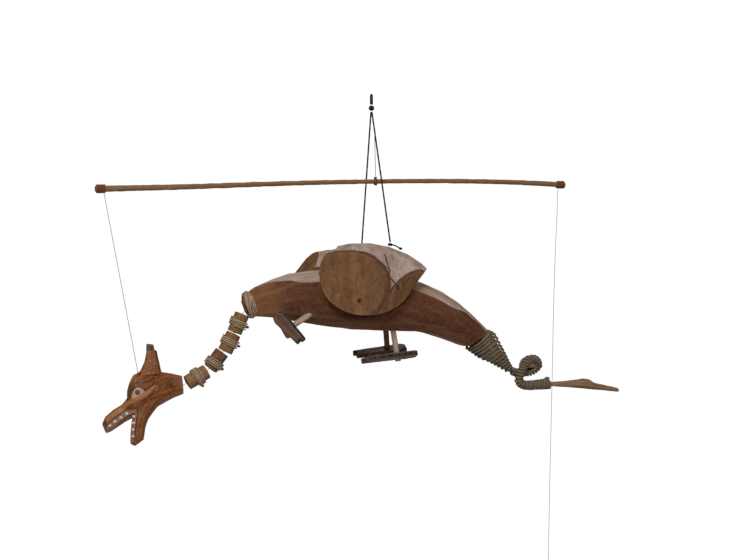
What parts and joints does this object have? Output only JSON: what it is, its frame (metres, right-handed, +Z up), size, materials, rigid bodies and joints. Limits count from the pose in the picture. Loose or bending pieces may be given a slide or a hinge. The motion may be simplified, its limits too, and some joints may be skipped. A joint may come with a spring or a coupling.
{
  "type": "hanging mobile sculpture",
  "caption": "Carved wooden winged creature with a wolf's head on a strung neck, hung on cords under a stick and worked by a pull line.",
  "frame": {"origin": "top of the hanging loop, where a hook or a nail holds the mobile", "axes": "+Z up, +X from the creature's head toward its tail and along the stick, so the creature faces -X; -Y is its left side"},
  "size_m": [0.6691, 0.1154, 0.6041],
  "materials": {
    "body_wood": "dark stained wood, oiled, with pale natural wood along the back",
    "wing_wood": "pale natural wood with a smooth brown sawn oval",
    "head_wood": "orange stained carved wood with painted eyes, brows, lips, teeth and ear tips",
    "neck_tan_wood": "tan stained wood",
    "neck_dark_wood": "dark red-brown stained wood",
    "pale_dowel": "bare pale wood",
    "foot_wood": "raw wood with black painted toes and edges",
    "tail_wood": "brown stained wood with a pale top",
    "stick_wood": "natural stick, lightly glossy",
    "cream_cord": "twisted cream cord",
    "tail_rope": "rough olive twisted rope",
    "orange_thread": "waxed red-orange thread",
    "black_cord": "thin black cord",
    "clear_line": "thin clear nylon line"
  },
  "bodies": {
    "root": {"wing_left": "wing_wood", "wing_right": "wing_wood", "body": "body_wood", "head": "head_wood", "neck_segment_1": "neck_tan_wood", "neck_segment_2": "neck_tan_wood", "neck_segment_3": "neck_dark_wood", "neck_segment_4": "neck_tan_wood", "neck_lashing": "cream_cord", "tail_binding": "tail_rope", "tail_rope": "tail_rope", "tail_blade": "tail_wood", "stick": "stick_wood", "stick_binding_left": "orange_thread", "stick_binding_right": "orange_thread", "stick_tie": "orange_thread", "stick_thread": "orange_thread", "hanging_loop": "black_cord", "hanging_knot": "black_cord", "hanging_cord_left": "black_cord", "hanging_cord_right": "black_cord", "ridge_knot_left": "black_cord", "ridge_knot_right": "black_cord", "head_line": "clear_line", "pull_line": "clear_line", "pull_knot": "clear_line", "neck_line": "clear_line", "neck_wrap_1": "cream_cord", "neck_wrap_2": "cream_cord", "neck_wrap_3": "cream_cord", "neck_wrap_4": "cream_cord", "leg_front_left": "pale_dowel", "foot_front_left": "foot_wood", "leg_front_right": "pale_dowel", "foot_front_right": "foot_wood", "leg_rear_left": "pale_dowel", "foot_rear_left": "foot_wood", "leg_rear_right": "pale_dowel", "foot_rear_right": "foot_wood"}
  },
  "joints": []
}
